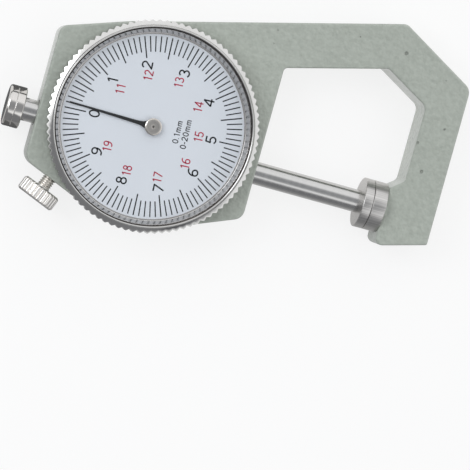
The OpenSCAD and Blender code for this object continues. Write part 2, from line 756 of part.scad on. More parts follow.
// Knurled ring with a brow that slopes up to a lip over the crystal.
// Between its bevels the profile stands clear of the knurl's tips.
module bezel() {
    base_bevel = 0.35;
    brow_w = 1;
    brow_slope = 22;
    brow_r = bezel_r - brow_w;
    clear_r = bezel_r + knurl_depth;
    brow_h = lip_z - bezel_z;
    lip_r = brow_r - 0.25;
    lip_bevel = 0.15;
    lip_top = lip_z + lip_h;
    core_z = bezel_z + base_bevel;
    color("#d6d6d4") difference() {
        union() {
            translate([0, 0, bezel_z]) knurled(bezel_r, bezel_teeth, knurl_depth,
                [[bezel_r - base_bevel, 0], [clear_r, base_bevel + knurl_depth],
                [clear_r, brow_h - (clear_r - brow_r) * tan(brow_slope)], [brow_r, brow_h]]);
            rotate_extrude() polygon([[0, core_z], [lip_r, core_z], [lip_r, lip_top - lip_bevel],
                [lip_r - lip_bevel, lip_top], [0, lip_top]]);
        }
        translate([0, 0, bezel_z - past]) cylinder(r = bezel_bore_r, h = lip_z - bezel_z + past);
        translate([0, 0, crystal_z]) cylinder(r = crystal_r, h = crystal_t);
        translate([0, 0, lip_z - past]) cylinder(r = window_r, h = lip_h + 2 * past);
        snap_groove(bezel_bore_r - past, bezel_bore_r + snap_groove_depth);
    }
}

module crystal() {
    color([0.9, 0.95, 1, 0.3]) translate([0, 0, crystal_z])
        cylinder(r = crystal_r - seat, h = crystal_t);
}

module dial_ring() {
    outer_r = bezel_bore_r - seat;
    top_r = window_r - free;
    color("#c4c6c8") rotate_extrude()
        polygon([[dial_show_r, dial_top], [outer_r, dial_top], [outer_r, crystal_z], [top_r, crystal_z]]);
}

module dial() {
    hole_play = 0.4;
    hole_r = arbor_r + hole_play;
    color("#d6dbe4") translate([0, 0, dial_z]) difference() {
        cylinder(r = bezel_bore_r - seat, h = dial_t);
        translate([0, 0, -past]) cylinder(r = hole_r, h = dial_t + 2 * past);
    }
}

module lock_pad() {
    color("#b8955a") on_lock_axis() {
        translate([0, 0, pad_tip_at - pad_len]) cylinder(r = pad_r, h = pad_len - pad_cone);
        translate([0, 0, pad_tip_at - pad_cone]) cylinder(r1 = pad_r, r2 = pad_tip_r, h = pad_cone);
    }
}

module lock_screw() {
    head_r = lock_head_d / 2;
    lock_knurl = 0.3;
    lock_bevel = 0.4;
    clear_r = head_r + lock_knurl;
    clear_bevel = lock_bevel + lock_knurl;
    shank_from = lock_head_at - lock_head_t / 2;
    color("#cfc8bd") on_lock_axis() {
        translate([0, 0, shank_from]) cylinder(r = lock_r, h = lock_tip_at - shank_from);
        translate([0, 0, lock_head_at - lock_head_t]) knurled(head_r, lock_teeth, lock_knurl,
            [[head_r - lock_bevel, 0], [clear_r, clear_bevel], [clear_r, lock_head_t - clear_bevel],
            [head_r - lock_bevel, lock_head_t]]);
    }
}

frame();
left_bush();
right_bush();
anvil();
rear_cover();
rear_cover_screws();
movement_plate();
plate_screws();
pillars();
movement_bridge();
bridge_screws();
arbor_bushes();
bezel_snap_ring();
spring_anchor();
return_spring();
hairspring_stud();
hairspring();
spindle();
contact_head();
lifting_knob();
guide_pin();
spring_pin();
pinion_arbor();
pointer();
pointer_hub();
take_up_arbor();
take_up_gear();
hairspring_collet();
bezel();
crystal();
dial_ring();
dial();
lock_pad();
lock_screw();
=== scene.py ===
import math

import bmesh
import bpy
import numpy as np
from mathutils import Matrix, Vector


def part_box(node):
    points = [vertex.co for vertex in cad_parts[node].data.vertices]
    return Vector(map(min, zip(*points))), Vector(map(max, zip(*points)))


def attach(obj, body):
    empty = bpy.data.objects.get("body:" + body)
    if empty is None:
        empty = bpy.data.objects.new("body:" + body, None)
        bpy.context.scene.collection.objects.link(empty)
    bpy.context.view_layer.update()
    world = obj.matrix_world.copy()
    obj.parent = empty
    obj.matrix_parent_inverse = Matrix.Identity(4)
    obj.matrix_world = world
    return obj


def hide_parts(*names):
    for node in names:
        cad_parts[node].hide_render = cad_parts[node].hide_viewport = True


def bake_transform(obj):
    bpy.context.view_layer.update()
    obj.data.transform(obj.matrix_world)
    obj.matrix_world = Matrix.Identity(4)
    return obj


# Dial thickness gauge, lying on its back. Lengths are in millimetres until a mesh is made.
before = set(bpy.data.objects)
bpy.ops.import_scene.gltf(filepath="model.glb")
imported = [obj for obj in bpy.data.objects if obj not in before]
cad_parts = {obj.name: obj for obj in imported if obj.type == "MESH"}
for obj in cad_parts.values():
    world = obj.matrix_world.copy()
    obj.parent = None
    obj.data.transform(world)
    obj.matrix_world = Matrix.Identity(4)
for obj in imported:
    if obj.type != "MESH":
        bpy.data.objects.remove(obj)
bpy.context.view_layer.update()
mm = 0.001
scene = bpy.context.scene
scene.view_settings.view_transform = "Standard"
print("gauge: loaded", len(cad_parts), "solids")


# Camera, placed where the photograph was taken from
view = {
    "eye": (-66.83, -0.34, 529.87),
    "right": (0.95064, 0.26802, 0.15634),
    "up": (-0.25877, 0.96285, -0.07717),
    "focalPixels": 2450.0,
    "imagePixels": 470.0,
    "sensor": 36.0,
}
cameraData = bpy.data.cameras.new("photoCamera")
cameraData.sensor_width = view["sensor"]
cameraData.lens = view["focalPixels"] / view["imagePixels"] * view["sensor"]
camera = bpy.data.objects.new("photoCamera", cameraData)
back = Vector(view["right"]).cross(Vector(view["up"]))
turn = Matrix((view["right"], view["up"], back)).transposed()
camera.matrix_world = Matrix.LocRotScale(Vector(view["eye"]) * mm, turn.to_quaternion(), None)
scene.collection.objects.link(camera)
scene.camera = camera
print("gauge: camera, lens", round(cameraData.lens, 1), "mm")


# Colours and nodes
# A hex colour as linear light, fully opaque, by the curve that defines sRGB
def hexToLinear(code):
    srgb = np.array([int(code[i:i + 2], 16) for i in (1, 3, 5)]) / 255
    linear = np.where(srgb <= 0.04045, srgb / 12.92, ((srgb + 0.055) / 1.055) ** 2.4)
    return (*linear.tolist(), 1.0)


# A node with its settings. An input is given a value or, where that is a socket, a link.
def addNode(tree, kind, inputs=None, **settings):
    node = tree.nodes.new(kind)
    for name, value in settings.items():
        setattr(node, name, value)
    for name, value in (inputs or {}).items():
        if isinstance(value, bpy.types.NodeSocket):
            tree.links.new(value, node.inputs[name])
        else:
            node.inputs[name].default_value = value
    return node


# A new material with its shader and the piece's own coordinates, in metres
def startMaterial(name, colour, shaderInputs):
    material = bpy.data.materials.new(name)
    material.use_nodes = True
    tree = material.node_tree
    shader = tree.nodes["Principled BSDF"]
    shader.inputs["Base Color"].default_value = hexToLinear(colour)
    for key, value in shaderInputs.items():
        shader.inputs[key].default_value = value
    place = addNode(tree, "ShaderNodeTexCoord").outputs["Object"]
    return material, tree, shader, place


# Floor of white paper. The camera sees it partly whitened, so that its shadows stay but stay light.
# In reflections it is white behind the gauge and grey in front of it, with a dark strip at the knob.
floor = {"half": 900.0, "drop": 0.03, "colour": "#f4f4f3", "roughness": 0.9,
         "whitening": 0.8, "mirrored": 0.85,
         "behind": "#ffffff", "before": "#848587", "behindFrom": 6.0, "beforeFrom": -26.0,
         "strip": "#333436", "stripAt": -29.5, "stripHalf": 3.5}
corner = floor["half"] * mm
under = -floor["drop"] * mm
floorMesh = bpy.data.meshes.new("floor")
around = [(-corner, -corner), (corner, -corner), (corner, corner), (-corner, corner)]
floorMesh.from_pydata([(x, y, under) for x, y in around], [], [(0, 1, 2, 3)])
floorObject = bpy.data.objects.new("floor", floorMesh)
scene.collection.objects.link(floorObject)
paper, tree, shader, place = startMaterial("matt white paper", floor["colour"],
                                           {"Roughness": floor["roughness"]})
ray = addNode(tree, "ShaderNodeLightPath").outputs
seen = addNode(tree, "ShaderNodeMath", {0: ray["Is Camera Ray"], 1: floor["whitening"]},
               operation="MULTIPLY")
mirrored = addNode(tree, "ShaderNodeMath", {0: ray["Is Glossy Ray"], 1: floor["mirrored"]},
                   operation="MULTIPLY")
share = addNode(tree, "ShaderNodeMath", {0: seen.outputs["Value"], 1: mirrored.outputs["Value"]},
                operation="MAXIMUM")
parts = addNode(tree, "ShaderNodeSeparateXYZ", {"Vector": place})
before = addNode(tree, "ShaderNodeMapRange", {"Value": parts.outputs["Y"],
                                              "From Min": floor["behindFrom"] * mm,
                                              "From Max": floor["beforeFrom"] * mm})
strip = addNode(tree, "ShaderNodeMath", {0: parts.outputs["X"], 1: floor["stripAt"] * mm,
                                         2: floor["stripHalf"] * mm}, operation="COMPARE")
greyed = addNode(tree, "ShaderNodeMix", {"Factor": before.outputs["Result"],
                                         "A": hexToLinear(floor["behind"]),
                                         "B": hexToLinear(floor["before"])}, data_type="RGBA")
darkened = addNode(tree, "ShaderNodeMix", {"Factor": strip.outputs["Value"], "A": greyed.outputs["Result"],
                                           "B": hexToLinear(floor["strip"])}, data_type="RGBA")
glowColour = addNode(tree, "ShaderNodeMix", {"Factor": ray["Is Glossy Ray"],
                                             "A": hexToLinear(floor["behind"]),
                                             "B": darkened.outputs["Result"]}, data_type="RGBA")
glow = addNode(tree, "ShaderNodeEmission", {"Color": glowColour.outputs["Result"], "Strength": 1.0})
whitened = addNode(tree, "ShaderNodeMixShader", {"Fac": share.outputs["Value"], 1: shader.outputs["BSDF"],
                                                 2: glow.outputs["Emission"]})
tree.links.new(whitened.outputs["Shader"], tree.nodes["Material Output"].inputs["Surface"])
floorMesh.materials.append(paper)


# Sky by height: a dark line at the horizon, a bright tent and a duller top, for the metal to show.
# It is darker low down toward -Y and -X, and in a patch toward the lower left, where someone stands.
sky = {"heights": [(0.0, "#2e2f31"), (0.09, "#3a3b3d"), (0.19, "#f2f3f5"), (0.84, "#fafbfd"),
                   (0.94, "#9c9ea1"), (1.0, "#929497")], "strength": 1.2,
       "sideColour": "#55565a", "sideFrom": -0.3, "sideTo": -0.75, "sideTop": 0.62, "sideLow": 0.38,
       "leftFrom": -0.55, "leftTo": -0.8, "leftTop": 0.34, "leftLow": 0.2,
       "patchColour": "#7c7d80", "patchToward": (-0.45, -0.89, 0.0), "patchFrom": 0.5, "patchTo": 0.6,
       "backdrop": "#ffffff"}
world = bpy.data.worlds.new("studio")
scene.world = world
world.use_nodes = True
tree = world.node_tree
direction = addNode(tree, "ShaderNodeTexCoord").outputs["Generated"]
parts = addNode(tree, "ShaderNodeSeparateXYZ", {"Vector": direction})
ramp = addNode(tree, "ShaderNodeValToRGB", {"Fac": parts.outputs["Z"]})
stops = ramp.color_ramp.elements
stops.remove(stops[-1])
for at, colour in sky["heights"]:
    stop = stops.new(at) if at else stops[0]
    stop.color = hexToLinear(colour)
darkSides = []
for axis, where in (("Y", "side"), ("X", "left")):
    sideways = addNode(tree, "ShaderNodeMapRange", {"Value": parts.outputs[axis],
                                                    "From Min": sky[where + "From"],
                                                    "From Max": sky[where + "To"]})
    lowDown = addNode(tree, "ShaderNodeMapRange", {"Value": parts.outputs["Z"],
                                                   "From Min": sky[where + "Top"],
                                                   "From Max": sky[where + "Low"]})
    dark = addNode(tree, "ShaderNodeMath", {0: sideways.outputs["Result"], 1: lowDown.outputs["Result"]},
                   operation="MULTIPLY")
    darkSides.append(dark.outputs["Value"])
side = addNode(tree, "ShaderNodeMath", {0: darkSides[0], 1: darkSides[1]}, operation="MAXIMUM")
shade = addNode(tree, "ShaderNodeMix", {"Factor": side.outputs["Value"], "A": ramp.outputs["Color"],
                                        "B": hexToLinear(sky["sideColour"])}, data_type="RGBA")
toward = addNode(tree, "ShaderNodeVectorMath", {0: direction, 1: sky["patchToward"]},
                 operation="DOT_PRODUCT")
patch = addNode(tree, "ShaderNodeMapRange", {"Value": toward.outputs["Value"], "From Min": sky["patchFrom"],
                                             "From Max": sky["patchTo"]})
patched = addNode(tree, "ShaderNodeMix", {"Factor": patch.outputs["Result"], "A": shade.outputs["Result"],
                                          "B": hexToLinear(sky["patchColour"])}, data_type="RGBA")
tent = tree.nodes["Background"]
tent.inputs["Strength"].default_value = sky["strength"]
tree.links.new(patched.outputs["Result"], tent.inputs["Color"])
backdrop = addNode(tree, "ShaderNodeBackground", {"Color": hexToLinear(sky["backdrop"]), "Strength": 1.0})
seen = addNode(tree, "ShaderNodeLightPath").outputs["Is Camera Ray"]
whole = addNode(tree, "ShaderNodeMixShader", {"Fac": seen, 1: tent.outputs["Background"],
                                              2: backdrop.outputs["Background"]})
tree.links.new(whole.outputs["Shader"], tree.nodes["World Output"].inputs["Surface"])

# One large soft lamp at the upper left
lamp = {"place": (-475, 105, 435), "size": 350, "power": 1.05, "colour": "#f7faff"}
lampData = bpy.data.lights.new("leftLamp", "AREA")
lampData.size = lamp["size"] * mm
lampData.energy = lamp["power"]
lampData.color = hexToLinear(lamp["colour"])[:3]
lampObject = bpy.data.objects.new("leftLamp", lampData)
lampObject.location = Vector(lamp["place"]) * mm
lampObject.rotation_euler = (-lampObject.location).to_track_quat("-Z", "Y").to_euler()
scene.collection.objects.link(lampObject)
print("gauge: room")


# Hammered enamel on die-cast zinc: soft grey-green, an orange-peel skin and a few faint pits
enamel = {"pale": "#b0b6ac", "deep": "#a6aca2", "pit": "#8a8f86", "roughness": 0.34,
          "mottle": 6.0, "grain": 0.8, "grainShare": 0.7, "cloudFrom": 0.35, "cloudTo": 0.65,
          "pitSpacing": 2.6, "pitSize": 0.5, "pitShare": 0.3, "pitSoft": 0.08,
          "peel": 1.1, "peelHeight": 0.4, "peelStrength": 0.7, "gloss": 0.5, "glossRoughness": 0.16}
hammeredEnamel, tree, shader, place = startMaterial("hammered enamel", enamel["pale"],
                                                    {"Roughness": enamel["roughness"],
                                                     "Coat Weight": enamel["gloss"],
                                                     "Coat Roughness": enamel["glossRoughness"]})
mottle = addNode(tree, "ShaderNodeTexNoise", {"Vector": place, "Scale": 1 / (enamel["mottle"] * mm),
                                              "Detail": 2.0})
grain = addNode(tree, "ShaderNodeTexNoise", {"Vector": place, "Scale": 1 / (enamel["grain"] * mm),
                                             "Detail": 1.0})
cloud = addNode(tree, "ShaderNodeMix", {"Factor": enamel["grainShare"], "A": mottle.outputs["Fac"],
                                        "B": grain.outputs["Fac"]})
spread = addNode(tree, "ShaderNodeMapRange", {"Value": cloud.outputs["Result"],
                                              "From Min": enamel["cloudFrom"],
                                              "From Max": enamel["cloudTo"]})
tone = addNode(tree, "ShaderNodeMix", {"Factor": spread.outputs["Result"], "A": hexToLinear(enamel["deep"]),
                                       "B": hexToLinear(enamel["pale"])}, data_type="RGBA")
cells = addNode(tree, "ShaderNodeTexVoronoi", {"Vector": place, "Scale": 1 / (enamel["pitSpacing"] * mm)})
chance = addNode(tree, "ShaderNodeSeparateColor", {"Color": cells.outputs["Color"]})
pitEdge = addNode(tree, "ShaderNodeMapRange", {"Value": chance.outputs["Red"],
                                               "From Min": 1 - enamel["pitShare"],
                                               "To Max": enamel["pitSize"] / enamel["pitSpacing"]})
depth = addNode(tree, "ShaderNodeMath", {0: pitEdge.outputs["Result"], 1: cells.outputs["Distance"]},
                operation="SUBTRACT")
pits = addNode(tree, "ShaderNodeMapRange", {"Value": depth.outputs["Value"], "From Max": enamel["pitSoft"]})
pitted = addNode(tree, "ShaderNodeMix", {"Factor": pits.outputs["Result"], "A": tone.outputs["Result"],
                                         "B": hexToLinear(enamel["pit"])}, data_type="RGBA")
peel = addNode(tree, "ShaderNodeTexNoise", {"Vector": place, "Scale": 1 / (enamel["peel"] * mm),
                                            "Detail": 1.0})
dents = addNode(tree, "ShaderNodeMath", {0: peel.outputs["Fac"], 1: pits.outputs["Result"]},
                operation="SUBTRACT")
skin = addNode(tree, "ShaderNodeBump", {"Height": dents.outputs["Value"],
                                        "Strength": enamel["peelStrength"],
                                        "Distance": enamel["peelHeight"] * mm})
tree.links.new(pitted.outputs["Result"], shader.inputs["Base Color"])
tree.links.new(skin.outputs["Normal"], shader.inputs["Normal"])


# A turned or ground metal: its tool marks are close together across their run and drawn out along it.
# Turned marks run round an axis, so they are close only along that axis. Ground marks run along X.
# Real marks are about 0.02 mm apart, too fine to show, so they are drawn as wide as "marks" says.
def turnedMetal(name, colour, dark, roughness, marks, closeAlong, spread):
    material, tree, shader, place = startMaterial(name, colour, {"Metallic": 1.0, "Roughness": roughness})
    close = 1 / (marks * mm)
    drawnOut = 60  # how many times longer than wide a mark is
    scale = [close if axis in closeAlong else close / drawnOut for axis in "XYZ"]
    along = addNode(tree, "ShaderNodeMapping", {"Vector": place, "Scale": scale})
    lines = addNode(tree, "ShaderNodeTexNoise", {"Vector": along.outputs["Vector"], "Scale": 1.0,
                                                 "Detail": 3.0})
    tone = addNode(tree, "ShaderNodeMix", {"Factor": lines.outputs["Fac"], "A": hexToLinear(dark),
                                           "B": hexToLinear(colour)}, data_type="RGBA")
    noiseLow, noiseHigh = 0.3, 0.7  # the noise seldom leaves this range
    gloss = addNode(tree, "ShaderNodeMapRange", {"Value": lines.outputs["Fac"],
                                                 "From Min": noiseLow, "From Max": noiseHigh,
                                                 "To Min": roughness - spread,
                                                 "To Max": roughness + spread})
    tree.links.new(tone.outputs["Result"], shader.inputs["Base Color"])
    tree.links.new(gloss.outputs["Result"], shader.inputs["Roughness"])
    return material


# Each: colour, colour in the marks, roughness, width of a mark in mm, axes across the marks, and how much
# the roughness varies
groundSteel = turnedMetal("ground tool steel", "#efedea", "#8c8a87", 0.34, 0.26, "YZ", 0.05)  # streaky
slidingSteel = turnedMetal("lapped spindle steel", "#d0cfcd", "#c2c1bf", 0.2, 1.2, "X", 0.03)  # even
polishedSteel = turnedMetal("polished turned steel", "#dcd9d5", "#cbc8c4", 0.09, 0.6, "X", 0.02)  # mirror
brightAluminium = turnedMetal("bright turned aluminium", "#d8d6d4", "#b6b3b0", 0.19, 0.35, "Z", 0.04)
nickelPlate = turnedMetal("bright nickel plate", "#f8f5f1", "#ece8e2", 0.32, 0.5, "X", 0.04)  # pale, warm
turnedBrass = turnedMetal("turned brass", "#d9b872", "#c4a25c", 0.28, 0.4, "Z", 0.06)  # yellow
zincScrew = turnedMetal("zinc plated steel", "#c4c4c1", "#aaaaa6", 0.3, 0.4, "Z", 0.06)  # dull grey
springSteel = turnedMetal("blued spring steel", "#8b9099", "#6f7680", 0.3, 0.4, "Z", 0.06)  # blue-grey


# Distance of a point from the dial's axis, which is Z: the length of its place with the height taken out
def fromAxis(tree, place):
    flat = addNode(tree, "ShaderNodeVectorMath", {0: place, 1: (1, 1, 0)}, operation="MULTIPLY")
    length = addNode(tree, "ShaderNodeVectorMath", {0: flat.outputs["Vector"]}, operation="LENGTH")
    return length.outputs["Value"]


# Faced aluminium for the hub cap: rings from the turning tool, by radius, round a centre darkened with
# painted shade in the dimple.
# Real rings are too fine to show, so they are drawn as wide as "ring" says.
faced = {"pale": "#f8f3ec", "dark": "#a29d96", "centre": "#4a4744", "ring": 0.3,
         "dimpleShadeOuter": 0.42, "dimpleShadeInner": 0.21, "roughness": 0.2}
facedAluminium, tree, shader, place = startMaterial("faced aluminium", faced["pale"],
                                                    {"Metallic": 1.0, "Roughness": faced["roughness"]})
radius = fromAxis(tree, place)
rings = addNode(tree, "ShaderNodeTexNoise", {"W": radius, "Scale": 1 / (faced["ring"] * mm), "Detail": 1.0},
                noise_dimensions="1D")
tone = addNode(tree, "ShaderNodeMix", {"Factor": rings.outputs["Fac"], "A": hexToLinear(faced["dark"]),
                                       "B": hexToLinear(faced["pale"])}, data_type="RGBA")
# painted shade: a dark disc over the centre dimple
middle = addNode(tree, "ShaderNodeMapRange", {"Value": radius, "From Min": faced["dimpleShadeOuter"] * mm,
                                              "From Max": faced["dimpleShadeInner"] * mm})
dimpleShaded = addNode(tree, "ShaderNodeMix", {"Factor": middle.outputs["Result"], "A": tone.outputs["Result"],
                                         "B": hexToLinear(faced["centre"])}, data_type="RGBA")
tree.links.new(dimpleShaded.outputs["Result"], shader.inputs["Base Color"])

# Bright chrome plate for the bezel. Inside the lip's inner edge, told by its radius, it is darkened with
# painted shade.
chrome = {"bright": "#dad9d7", "dull": "#cac9c6", "paintedShade": "#5f5b58", "paintedShadeOuter": 21.2,
          "edge": 0.06, "roughness": 0.14, "wear": 3.0}
brightChrome, tree, shader, place = startMaterial("bright chrome plate", chrome["bright"],
                                                  {"Metallic": 1.0, "Roughness": chrome["roughness"]})
wear = addNode(tree, "ShaderNodeTexNoise", {"Vector": place, "Scale": 1 / (chrome["wear"] * mm),
                                            "Detail": 4.0})
tone = addNode(tree, "ShaderNodeMix", {"Factor": wear.outputs["Fac"], "A": hexToLinear(chrome["dull"]),
                                       "B": hexToLinear(chrome["bright"])}, data_type="RGBA")
# painted shade: the chrome is made dark inside the lip's inner edge, where the gap by the crystal looks
# dark
within = addNode(tree, "ShaderNodeMapRange", {"Value": fromAxis(tree, place),
                                              "From Min": (chrome["paintedShadeOuter"] + chrome["edge"]) * mm,
                                              "From Max": (chrome["paintedShadeOuter"] - chrome["edge"]) * mm})
paintedShadeTone = addNode(tree, "ShaderNodeMix", {"Factor": within.outputs["Result"], "A": tone.outputs["Result"],
                                         "B": hexToLinear(chrome["paintedShade"])}, data_type="RGBA")
tree.links.new(paintedShadeTone.outputs["Result"], shader.inputs["Base Color"])


# Paints and inks: a near flat coat with a faint cloud and a fine grain, drawn coarser than the real one
def coat(name, colour, deep, roughness, shine, cloud, grain, grainHeight):
    material, tree, shader, place = startMaterial(name, colour, {"Roughness": roughness,
                                                                 "Specular IOR Level": shine})
    clouds = addNode(tree, "ShaderNodeTexNoise", {"Vector": place, "Scale": 1 / (cloud * mm),
                                                  "Detail": 3.0})
    tone = addNode(tree, "ShaderNodeMix", {"Factor": clouds.outputs["Fac"], "A": hexToLinear(deep),
                                           "B": hexToLinear(colour)}, data_type="RGBA")
    specks = addNode(tree, "ShaderNodeTexNoise", {"Vector": place, "Scale": 1 / (grain * mm),
                                                  "Detail": 2.0})
    toothStrength = 0.3
    tooth = addNode(tree, "ShaderNodeBump", {"Height": specks.outputs["Fac"], "Strength": toothStrength,
                                             "Distance": grainHeight * mm})
    tree.links.new(tone.outputs["Result"], shader.inputs["Base Color"])
    tree.links.new(tooth.outputs["Normal"], shader.inputs["Normal"])
    return material


# Each: colour, deeper colour, roughness, shine, then the cloud, the grain and its height in mm
dialEnamel = coat("satin dial enamel", "#dbe0e6", "#d5dae0", 0.5, 0.4, 11.0, 0.12, 0.002)  # bluish white
blackInk = coat("black printing ink", "#0a0b0e", "#121318", 0.7, 0.05, 1.2, 0.1, 0.002)  # flat
redInk = coat("red printing ink", "#b8304c", "#a8263f", 0.7, 0.1, 1.2, 0.1, 0.002)  # flat
blackLacquer = coat("black lacquer", "#08090a", "#0f1011", 0.5, 0.15, 2.0, 0.15, 0.002)  # a dull shine

# Clear acrylic: a faint shine and nothing else. It lets light straight through, so the dial isn't bent.
clear = {"colour": "#f4f8fb", "alpha": 0.015, "index": 1.49, "roughness": 0.045, "smear": 0.025,
         "haze": 6.0}
acrylic, tree, shader, place = startMaterial("clear acrylic", clear["colour"],
                                             {"Roughness": clear["roughness"], "Alpha": clear["alpha"],
                                              "IOR": clear["index"]})
haze = addNode(tree, "ShaderNodeTexNoise", {"Vector": place, "Scale": 1 / (clear["haze"] * mm),
                                            "Detail": 2.0})
wipe = addNode(tree, "ShaderNodeMapRange", {"Value": haze.outputs["Fac"],
                                            "To Min": clear["roughness"] - clear["smear"],
                                            "To Max": clear["roughness"] + clear["smear"]})
tree.links.new(wipe.outputs["Result"], shader.inputs["Roughness"])
print("gauge: materials")


# Mesh makers
# Faces between neighbouring points of a grid whose columns close in a ring, row by row
def gridFaces(rows, columns, ringRows=False):
    i, j = np.meshgrid(np.arange(rows if ringRows else rows - 1), np.arange(columns), indexing="ij")
    nextI, nextJ = (i + 1) % rows, (j + 1) % columns
    corners = [i * columns + j, i * columns + nextJ, nextI * columns + nextJ, nextI * columns + j]
    return np.stack(corners, -1).reshape(-1, 4)


sameSpot = 1e-7  # metres, within which two points are one


# One closed piece in the gauge's frame: joined where points meet, faces outwards, sharp past an angle
def addPiece(name, points, faces, material, body, stands=None, sharp=32):
    mesh = bpy.data.meshes.new(name)
    mesh.from_pydata(np.asarray(points).reshape(-1, 3) * mm, [], [list(face) for face in faces])
    shape = bmesh.new()
    shape.from_mesh(mesh)
    bmesh.ops.remove_doubles(shape, verts=shape.verts, dist=sameSpot)
    bmesh.ops.recalc_face_normals(shape, faces=shape.faces)
    shape.to_mesh(mesh)
    shape.free()
    mesh.shade_smooth()
    mesh.set_sharp_from_angle(angle=math.radians(sharp))
    mesh.materials.append(material)
    piece = bpy.data.objects.new(name, mesh)
    scene.collection.objects.link(piece)
    if body:
        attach(piece, body)
    if stands:
        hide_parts(stands)
    return piece


# Line through corners with each inner corner rounded: a quadratic curve from before it to after it
def softened(corners, reach, steps=4):
    most = 0.45  # a rounding takes at most this share of a line at each of its ends
    p = np.array(corners, float)
    before, after = p[1:-1] - p[:-2], p[2:] - p[1:-1]
    lengthBefore = np.linalg.norm(before, axis=1, keepdims=True)
    lengthAfter = np.linalg.norm(after, axis=1, keepdims=True)
    start = p[1:-1] - before / lengthBefore * np.minimum(reach, most * lengthBefore)
    end = p[1:-1] + after / lengthAfter * np.minimum(reach, most * lengthAfter)
    t = np.linspace(0, 1, steps)[None, :, None]
    arcs = (1 - t) ** 2 * start[:, None] + 2 * t * (1 - t) * p[1:-1, None] + t ** 2 * end[:, None]
    return np.vstack([p[:1], arcs.reshape(-1, 2), p[-1:]])


# Turned surface: a profile of [radius, distance along the axis], carried round Z.
# Extra is added to the radius, for teeth and threads.
def turned(profile, columns, extra=0.0):
    angle = np.linspace(0, 2 * math.pi, columns, endpoint=False)[None, :]
    radius = profile[:, :1] + extra
    along = np.broadcast_to(profile[:, 1:], (len(profile), columns))
    return np.stack([radius * np.cos(angle), radius * np.sin(angle), along], -1)


# Points of an upright turned surface laid along a new axis through an origin
def laidAlong(points, origin, axis):
    z = np.array(axis) / np.linalg.norm(axis)
    x = np.cross(np.array([0.0, 0.0, 1.0]), z)
    x = x / np.linalg.norm(x)
    return np.asarray(origin) + points @ np.stack([x, np.cross(z, x), z])


# Triangle wave from 0 to 1 with flattened tops: the outline of a straight knurl
def knurlWave(columns, teeth, flat):
    phase = np.arange(columns) * teeth / columns % 1
    return np.minimum((1 - np.abs(2 * phase - 1)) * flat, 1)[None, :]


# Low and high corner of a solid's box, in millimetres
def boxOf(node):
    return [np.array(corner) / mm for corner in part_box(node)]


# Copy of a solid's surface with its loose triangles joined: points in millimetres and triangles
def joinedSolid(node):
    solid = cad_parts[node].data
    places = np.empty(len(solid.vertices) * 3)
    solid.vertices.foreach_get("co", places)
    corners = np.empty(len(solid.loops), int)
    solid.loops.foreach_get("vertex_index", corners)
    points, joined = np.unique(places.reshape(-1, 3).round(8), axis=0, return_inverse=True)
    return points / mm, joined.ravel()[corners].reshape(-1, 3)


# Frame: a copy of the solid's surface, with its flat front laid anew between the same edges.
# The solid's own front has a few folded slivers, which would show as thin dark lines.
casting = {"front": 9.2, "near": 0.001}
points, triangles = joinedSolid("frame")
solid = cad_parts["frame"].data
normals = np.empty(len(solid.loops) * 3)
solid.corner_normals.foreach_get("vector", normals)
atFront = np.abs(points[:, 2] - casting["front"]) < casting["near"]
kept = ~atFront[triangles].all(1)
edges = np.sort(np.concatenate([triangles[kept][:, pair] for pair in ([0, 1], [1, 2], [2, 0])]), 1)
edges, uses = np.unique(edges, axis=0, return_counts=True)
rims = edges[uses == 1]
sheet = bmesh.new()
marks = {index: sheet.verts.new(points[index]) for index in np.unique(rims)}
for first, second in rims:
    sheet.edges.new((marks[first], marks[second]))
names = {vertex: index for index, vertex in marks.items()}
bmesh.ops.triangle_fill(sheet, use_beauty=True, edges=sheet.edges, normal=(0, 0, 1))
front = [[names[vertex] for vertex in face.verts] for face in sheet.faces]
sheet.free()
castMesh = bpy.data.meshes.new("castFrame")
castMesh.from_pydata(points * mm, [], triangles[kept].tolist() + front)
castMesh.shade_smooth()
up = np.tile((0.0, 0.0, 1.0), (3 * len(front), 1))
castMesh.normals_split_custom_set(np.concatenate([normals.reshape(-1, 3, 3)[kept].reshape(-1, 3), up]))
castMesh.materials.append(hammeredEnamel)
castFrame = bpy.data.objects.new("castFrame", castMesh)
scene.collection.objects.link(castFrame)
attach(castFrame, "frame")
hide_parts("frame")
print("gauge: frame,", len(front), "front triangles")


# Return spring: a copy of the solid's wire.
points, triangles = joinedSolid("return_spring")
coil = addPiece("returnSpring", points, triangles, springSteel, None, "return_spring")
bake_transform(coil)
print("gauge: return spring")


# Bezel: a turned ring. Its knurled wall runs up into a sloping brow, which is cut by the same teeth.
# A short steep step follows, then a narrow crowned lip that slopes down to the crystal.
bezel = {"teeth": 90, "steps": 14, "depth": 0.5, "flat": 1.12, "baseBevel": 0.35, "baseInset": 0.1,
         "browWidth": 1.0, "browSlope": 22.0, "lipHeight": 0.4, "stepWidth": 0.25, "stepHeight": 0.25,
         "shoulder": 0.1, "shoulderDrop": 0.02, "crown": 0.22, "slopeWidth": 0.12, "slopeDrop": 0.07,
         "innerEdge": 0.06, "bore": 20.94, "window": 20.91, "soft": 0.06}
low, high = boxOf("bezel")
root = high[0] - bezel["depth"]
browR, browZ = high[0] - bezel["browWidth"], high[2] - bezel["lipHeight"]
fall = math.tan(math.radians(bezel["browSlope"]))
stepR, stepZ = browR - bezel["stepWidth"], browZ + bezel["stepHeight"]
crownR = stepR - bezel["crown"]
wall = np.array([(bezel["bore"], low[2]), (root - bezel["baseInset"], low[2]),
                 (root, low[2] + bezel["baseBevel"]), (root, browZ)])
lip = softened([(browR, browZ), (stepR, stepZ),
                (stepR - bezel["shoulder"], high[2] - bezel["shoulderDrop"]), (crownR, high[2]),
                (crownR - bezel["slopeWidth"], high[2] - bezel["slopeDrop"]),
                (bezel["window"], browZ + bezel["innerEdge"]), (bezel["window"], browZ),
                (bezel["bore"], browZ)], bezel["soft"])
profile = np.vstack([wall, lip])
columns = bezel["teeth"] * bezel["steps"]
toothRows = [2, 3]  # the wall's foot and top, which the teeth stand on
cut = np.zeros((len(profile), 1))
